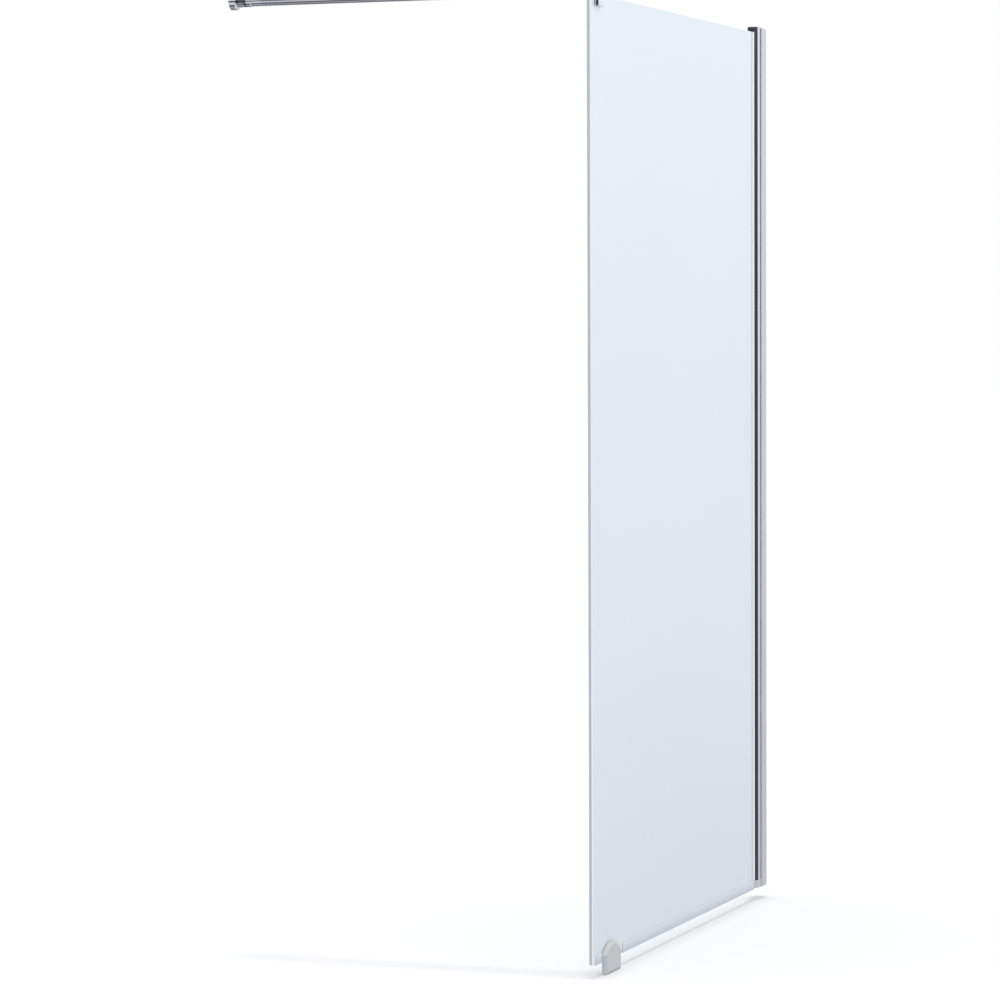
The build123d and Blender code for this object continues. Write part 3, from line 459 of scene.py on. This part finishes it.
# painted shade: the base colour is made darker towards the floor, for the darker floor the lower pane
# reflects
up = add_node(tree, "ShaderNodeSeparateXYZ", {"Vector": place})
painted_floor_shade = add_node(
    tree, "ShaderNodeMapRange",
    {"Value": up.outputs["Z"], "From Max": GLASS_TOP, "To Min": -0.06, "To Max": 0.84},
)
cloud = add_node(
    tree, "ShaderNodeMath", {0: wave.outputs[0], 1: 0.2, 2: painted_floor_shade.outputs[0]}, operation="MULTIPLY_ADD"
)
tint_with_painted_shade = add_node(
    tree, "ShaderNodeMix", {0: cloud.outputs[0], MIX_A: linear("#DFE7EE"), MIX_B: linear("#EDF4F9")},
    data_type="RGBA",
)
tree.links.new(tint_with_painted_shade.outputs[MIXED], shader.inputs["Base Color"])
tree.links.new(clear.outputs[0], shader.inputs["Transmission Weight"])
materials["toughened_glass"] = made
materials["ground_edge"] = moulded("ground_glass_edge", "#B2B9C1", "#BCC3C8", 0.4, 0.5, IOR=1.5)
# painted highlight: a lighter copy of the ground edge finish for the bright line on the outer arris
materials["lit_edge"] = moulded("glass_edge_painted_highlight", "#EDF3F6", "#F6FAFB", 0.4, 0.4, IOR=1.5)
print("glass finishes made")

# %% Give every CAD node its finish
slot_of_node = {part["node"]: part["material_slot"] for part in frame["record"]["subparts"]}
FINISH_BY_NODE = {
    "foot_plate": "blasted_chrome", "foot_clamp_plate": "blasted_chrome",
    "foot_base_pad": "pale_rubber", "bar_tube": "chromed_tube", "wall_channel": "satin_profile",
    "outer_gasket": "clear_gasket", "inner_gasket": "clear_gasket",
}
finish_of = {name: materials[FINISH_BY_NODE.get(name, slot_of_node[name])] for name in nodes}
for name, node in nodes.items():
    node.data.materials.clear()
    node.data.materials.append(finish_of[name])
print("nodes with a finish:", len(nodes))

# %% [markdown]
# ## Working on copies of the CAD shapes
# Real edges are never perfectly sharp: casting, buffing and plating round them, and
# the thin line of light on an edge is what makes a part look solid. The CAD keeps its
# edges plain, so a piece here starts as a copy of the CAD mesh. The copy's loose
# triangles are merged, flat areas become single faces, and the sharp edges get a
# small bevel. A bevel is never wider than the shortest edge in its run allows, so each
# closed run of edges is bevelled by itself, and the fine rim of a screw hole does not
# hold back the long outer edges. Weighted normals then keep the large faces flat to
# the light.

# %% Functions that copy, soften and finish a piece
SAME_POINT_MM = 0.001
TINY_EDGE_MM = 0.03
FLAT_UNDER_DEG = 0.5
SHARP_OVER_DEG = 35
SMOOTH_UNDER_DEG = 40


def merged_copy(name):
    shape = bmesh.new()
    shape.from_mesh(nodes[name].data)
    bmesh.ops.remove_doubles(shape, verts=shape.verts, dist=SAME_POINT_MM * MM)
    bmesh.ops.dissolve_limit(
        shape, angle_limit=math.radians(FLAT_UNDER_DEG), verts=shape.verts, edges=shape.edges
    )
    bmesh.ops.dissolve_degenerate(shape, dist=TINY_EDGE_MM * MM, edges=shape.edges)
    return shape


def sharp_runs(shape):
    limit = math.radians(SHARP_OVER_DEG)
    sharp = [edge for edge in shape.edges if len(edge.link_faces) == 2 and edge.calc_face_angle() > limit]
    waiting = set(sharp)
    runs = []
    for start in sharp:
        if start not in waiting:
            continue
        waiting.remove(start)
        run = [start]
        for edge in run:
            for vert in edge.verts:
                for near in vert.link_edges:
                    if near in waiting:
                        waiting.remove(near)
                        run.append(near)
        runs.append(run)
    return runs


def round_edges(shape, round_mm):
    for run in sharp_runs(shape):
        run = [edge for edge in run if edge.is_valid]
        bmesh.ops.bevel(
            shape, geom=run, offset=round_mm * MM, offset_type="OFFSET", segments=2, profile=0.5,
            affect="EDGES", clamp_overlap=True,
        )


def add_piece(name, shape, finishes):
    mesh = bpy.data.meshes.new(name)
    shape.to_mesh(mesh)
    shape.free()
    for finish in finishes:
        mesh.materials.append(finish)
    mesh.polygons.foreach_set("use_smooth", [True] * len(mesh.polygons))
    mesh.set_sharp_from_angle(angle=math.radians(SMOOTH_UNDER_DEG))
    piece = bpy.data.objects.new(name, mesh)
    scene.collection.objects.link(piece)
    return piece


def settle(piece):
    depsgraph = bpy.context.evaluated_depsgraph_get()
    mesh = bpy.data.meshes.new_from_object(piece.evaluated_get(depsgraph), depsgraph=depsgraph)
    piece.modifiers.clear()
    piece.data = mesh


def stands_for(piece, node_name):
    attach(piece, body_of_node[node_name])
    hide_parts(node_name)
    print(piece.name, "has", len(piece.data.polygons), "faces")


# %% [markdown]
# ## The fittings
# The clamp, the knuckles, the bar's sleeve and the rosette are brass, die cast or
# turned, then buffed and chromed. The two caps are moulded. Each gets an edge round
# of the size its making leaves: about 0.5 mm on castings, 0.3 mm on turned parts. The
# sides that stand against the wall are left as the lathe leaves them, bare and dull.
# The rosette's front edge is a ring only 0.8 mm wide, so its own rounding is finer.

# %% Castings, turned parts and caps with softened edges
EDGE_ROUND_MM = {
    "clamp_body": 0.5, "foot_clamp_plate": 0.4, "bar_end_plug": 0.4, "rod_knuckle": 0.4,
    "flange_neck": 0.4, "adjusting_sleeve": 0.3, "rosette": 0.1, "top_end_cap": 0.3,
    "bottom_end_cap": 0.5, "clamp_pressure_plate": 0.2, "clamp_pivot_screw": 0.2,
    "flange_pivot_screw": 0.2,
}
TURNED_WALL_SIDE = ("flange_neck", "rosette")
FACES_Y = 0.9
for name, round_mm in EDGE_ROUND_MM.items():
    shape = merged_copy(name)
    round_edges(shape, round_mm)
    finishes = [finish_of[name]]
    if name in TURNED_WALL_SIDE:
        finishes.append(materials["steel"])
        for face in shape.faces:
            face.material_index = 1 if face.normal.y > FACES_Y else 0
    piece = add_piece("soft_" + name, shape, finishes)
    piece.modifiers.new("flat_light", "WEIGHTED_NORMAL").keep_sharp = True
    settle(piece)
    stands_for(piece, name)

# %% [markdown]
# ## The pane
# The pane is cut, its edges are ground, its two holes are drilled, and only then is it
# toughened. A pane has two finishes, polished faces and ground edges, so the copy of
# the CAD mesh sorts its faces by which way they point: along Y is a polished face,
# and all else, with the arris and the walls of the holes, was touched by the wheel.
# A lighter copy of the ground edge finish along the outer arris is a painted highlight, a bright line.

# %% Glass pane with ground edges
# painted highlight: ground faces within this distance of the outer face get the lighter edge finish
PAINTED_HIGHLIGHT_MM = 2.0
shape = merged_copy("glass_panel")
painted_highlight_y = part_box("glass_panel")[0][1] + PAINTED_HIGHLIGHT_MM * MM
bmesh.ops.bisect_plane(
    shape, geom=shape.verts[:] + shape.edges[:] + shape.faces[:],
    plane_co=(0, painted_highlight_y, 0), plane_no=(0, 1, 0),
)
ground_faces = 0
for face in shape.faces:
    if abs(face.normal.y) < FACES_Y:
        face.material_index = 2 if face.calc_center_median().y < painted_highlight_y else 1
        ground_faces += 1
pane_finishes = [materials["toughened_glass"], materials["ground_edge"], materials["lit_edge"]]
pane = add_piece("pane", shape, pane_finishes)
pane.data.polygons.foreach_set("use_smooth", [False] * len(pane.data.polygons))
print("ground faces:", ground_faces)
stands_for(pane, "glass_panel")

# %% [markdown]
# ## The wall channel
# The wall channel is one satin extrusion, and its two lips are blasted matt where the
# other channel slides in. The copy of the CAD mesh gives the faces round the lips a
# second finish, picked by how far they stand from the wall.

# %% Wall channel with matt lips
LIP_MM = 1.2
shape = merged_copy("wall_channel")
lip_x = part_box("wall_channel")[0][0] + LIP_MM * MM
bmesh.ops.bisect_plane(
    shape, geom=shape.verts[:] + shape.edges[:] + shape.faces[:],
    plane_co=(lip_x, 0, 0), plane_no=(1, 0, 0),
)
for face in shape.faces:
    face.material_index = 1 if face.calc_center_median().x < lip_x else 0
channel_finishes = [materials["satin_profile"], materials["matt_lip"]]
channel = add_piece("satin_wall_channel", shape, channel_finishes)
channel.modifiers.new("flat_light", "WEIGHTED_NORMAL").keep_sharp = True
settle(channel)
stands_for(channel, "wall_channel")

# %% [markdown]
# ## Rows of equal parts
# Screws, covers, washers and setting pads come in rows at an even spacing. A Geometry
# Nodes tree makes any such row: it takes one part, how many, where the first goes and
# the step to the next. Copying by hand would work for two, but the tree keeps the rule
# in one place, and a change of spacing is one number.

# %% A tree that makes a row
row_tree = bpy.data.node_groups.new("even_row", "GeometryNodeTree")
row_inputs = {
    "Part": "NodeSocketObject", "Count": "NodeSocketInt", "First": "NodeSocketVector",
    "Step": "NodeSocketVector", "Finish": "NodeSocketMaterial",
}
row_tree.interface.new_socket(name="Geometry", in_out="OUTPUT", socket_type="NodeSocketGeometry")
row_sockets = {
    name: row_tree.interface.new_socket(name=name, in_out="INPUT", socket_type=kind).identifier
    for name, kind in row_inputs.items()
}
given = add_node(row_tree, "NodeGroupInput").outputs
line = add_node(
    row_tree, "GeometryNodeMeshLine",
    {"Count": given["Count"], "Start Location": given["First"], "Offset": given["Step"]},
)
part = add_node(row_tree, "GeometryNodeObjectInfo", {"Object": given["Part"]})
copies = add_node(
    row_tree, "GeometryNodeInstanceOnPoints",
    {"Points": line.outputs[0], "Instance": part.outputs["Geometry"]},
)
real = add_node(row_tree, "GeometryNodeRealizeInstances", {"Geometry": copies.outputs[0]})
finished = add_node(
    row_tree, "GeometryNodeSetMaterial", {"Geometry": real.outputs[0], "Material": given["Finish"]}
)
add_node(row_tree, "NodeGroupOutput", {"Geometry": finished.outputs[0]})
print("row inputs:", ", ".join(row_sockets))

# %% A function that runs a tree on an empty mesh
def grow(name, tree, sockets, **values):
    piece = bpy.data.objects.new(name, bpy.data.meshes.new(name))
    scene.collection.objects.link(piece)
    modifier = piece.modifiers.new("grow", "NODES")
    modifier.node_group = tree
    for key, value in values.items():
        modifier[sockets[key]] = value
    settle(piece)
    return piece


# %% [markdown]
# The part at the head of each row is one solid of the CAD node, found by walking from
# vertex to vertex. It is brought to the origin, softened and handed to the tree. The
# side screws slide along the wall channel's face with the glass, so their heads clear
# that face by a hair.

# %% Screws, covers, washers and setting pads in rows
def split_solids(shape):
    waiting = set(shape.verts)
    solids = []
    while waiting:
        solid, edge_of_walk = set(), [waiting.pop()]
        while edge_of_walk:
            vert = edge_of_walk.pop()
            solid.add(vert)
            near = {e.other_vert(vert) for e in vert.link_edges} & waiting
            waiting -= near
            edge_of_walk.extend(near)
        solids.append(solid)
    return solids


def middle(verts):
    low = Vector([min(v.co[i] for v in verts) for i in range(3)])
    high = Vector([max(v.co[i] for v in verts) for i in range(3)])
    return (low + high) / 2


ROW_ROUND_MM = {
    "side_screws": 0.15, "slot_covers": 0.2, "edge_pads": 0.3, "foot_screws": 0.15, "clamp_screws": 0.15,
    "foot_bushes": 0.15, "clamp_washers": 0.1, "flange_washers": 0.1,
}
LIFT_MM = {"side_screws": 0.02}
for name, round_mm in ROW_ROUND_MM.items():
    shape = merged_copy(name)
    solids = sorted(split_solids(shape), key=lambda verts: tuple(round(c, 5) for c in middle(verts)))
    places = [middle(verts) for verts in solids]
    step = places[1] - places[0]
    bmesh.ops.delete(shape, geom=[v for verts in solids[1:] for v in verts], context="VERTS")
    bmesh.ops.translate(shape, vec=-places[0], verts=shape.verts)
    round_edges(shape, round_mm)
    model = add_piece("one_of_" + name, shape, [finish_of[name]])
    row = grow(
        "row_of_" + name, row_tree, row_sockets, Part=model, Count=len(places),
        First=places[0] + Vector((0, LIFT_MM.get(name, 0) * MM, 0)), Step=step, Finish=finish_of[name],
    )
    bpy.data.objects.remove(model)
    stands_for(row, name)

# %% [markdown]
# ## Seals and gaskets
# These are extrusions: soft PVC pushed through a die of the right outline and cut to
# length. The tree here does the same. It takes a flat outline and a run, pushes the
# face along the run, closes the other end and welds the seam.

# %% A tree that pushes an outline along a run
die_tree = bpy.data.node_groups.new("pushed_through_a_die", "GeometryNodeTree")
die_inputs = {"Outline": "NodeSocketObject", "Run": "NodeSocketVector", "Finish": "NodeSocketMaterial"}
die_tree.interface.new_socket(name="Geometry", in_out="OUTPUT", socket_type="NodeSocketGeometry")
die_sockets = {
    name: die_tree.interface.new_socket(name=name, in_out="INPUT", socket_type=kind).identifier
    for name, kind in die_inputs.items()
}
given = add_node(die_tree, "NodeGroupInput").outputs
outline = add_node(die_tree, "GeometryNodeObjectInfo", {"Object": given["Outline"]})
pushed = add_node(
    die_tree, "GeometryNodeExtrudeMesh",
    {"Mesh": outline.outputs["Geometry"], "Offset": given["Run"], "Offset Scale": 1.0, "Individual": False},
)
back = add_node(die_tree, "GeometryNodeFlipFaces", {"Mesh": outline.outputs["Geometry"]})
joined = add_node(die_tree, "GeometryNodeJoinGeometry")
die_tree.links.new(pushed.outputs["Mesh"], joined.inputs[0])
die_tree.links.new(back.outputs[0], joined.inputs[0])
welded = add_node(
    die_tree, "GeometryNodeMergeByDistance",
    {"Geometry": joined.outputs[0], "Distance": SAME_POINT_MM * MM},
)
real = add_node(die_tree, "GeometryNodeRealizeInstances", {"Geometry": welded.outputs[0]})
finished = add_node(
    die_tree, "GeometryNodeSetMaterial", {"Geometry": real.outputs[0], "Material": given["Finish"]}
)
add_node(die_tree, "NodeGroupOutput", {"Geometry": finished.outputs[0]})
print("die inputs:", ", ".join(die_sockets))

# %% [markdown]
# The bottom seal is a U that grips the glass. Its outline has round shoulders below
# and lips that thin out above, because a die for soft PVC never has a sharp corner.

# %% The outline of the bottom seal
def flat_outline(name, points, across, up, start, finish):
    mesh = bpy.data.meshes.new(name)
    corners = [start + across * (a * MM) + up * (b * MM) for a, b in points]
    mesh.from_pydata(corners, [], [range(len(corners))])
    mesh.materials.append(finish)
    piece = bpy.data.objects.new(name, mesh)
    scene.collection.objects.link(piece)
    return piece


def seal_outline(half_glass, wall, base, height):
    shoulder = 0.7 * wall
    outer = half_glass + wall
    turns = [math.radians(a) for a in (0, 22.5, 45, 67.5, 90)]
    right = [
        (outer - shoulder + shoulder * math.sin(t), -base + shoulder - shoulder * math.cos(t))
        for t in turns
    ]
    right += [
        (outer, height - 3.0),
        (half_glass + 0.75 * wall, height - 0.5),
        (half_glass + 0.45 * wall, height),
        (half_glass + 0.1, height - 0.4),
        (half_glass, height - 1.2),
        (half_glass, 0.3),
        (half_glass - 0.3, 0.0),
    ]
    return right + [(-a, b) for a, b in reversed(right)]


glass_low, glass_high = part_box("glass_panel")
half_glass_mm = (glass_high[1] - glass_low[1]) / 2 / MM
across_y, up_z = Vector((0, 1, 0)), Vector((0, 0, 1))
for name in ("bottom_seal_short", "bottom_seal_long"):
    low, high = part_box(name)
    wall_mm = (high[1] - low[1]) / 2 / MM - half_glass_mm
    points = seal_outline(half_glass_mm, wall_mm, -low[2] / MM, high[2] / MM)
    start = Vector((low[0], 0, 0))
    outline = flat_outline("outline_" + name, points, across_y, up_z, start, finish_of[name])
    seal = grow(
        "extruded_" + name, die_tree, die_sockets, Outline=outline, Run=(high[0] - low[0], 0, 0),
        Finish=finish_of[name],
    )
    bpy.data.objects.remove(outline)
    seal.data.polygons.foreach_set("use_smooth", [True] * len(seal.data.polygons))
    seal.data.set_sharp_from_angle(angle=math.radians(SHARP_OVER_DEG))
    stands_for(seal, name)

# %% Print the visual box and finish
low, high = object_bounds()
print("visual box in metres:", [round(v, 4) for v in low], [round(v, 4) for v in high])
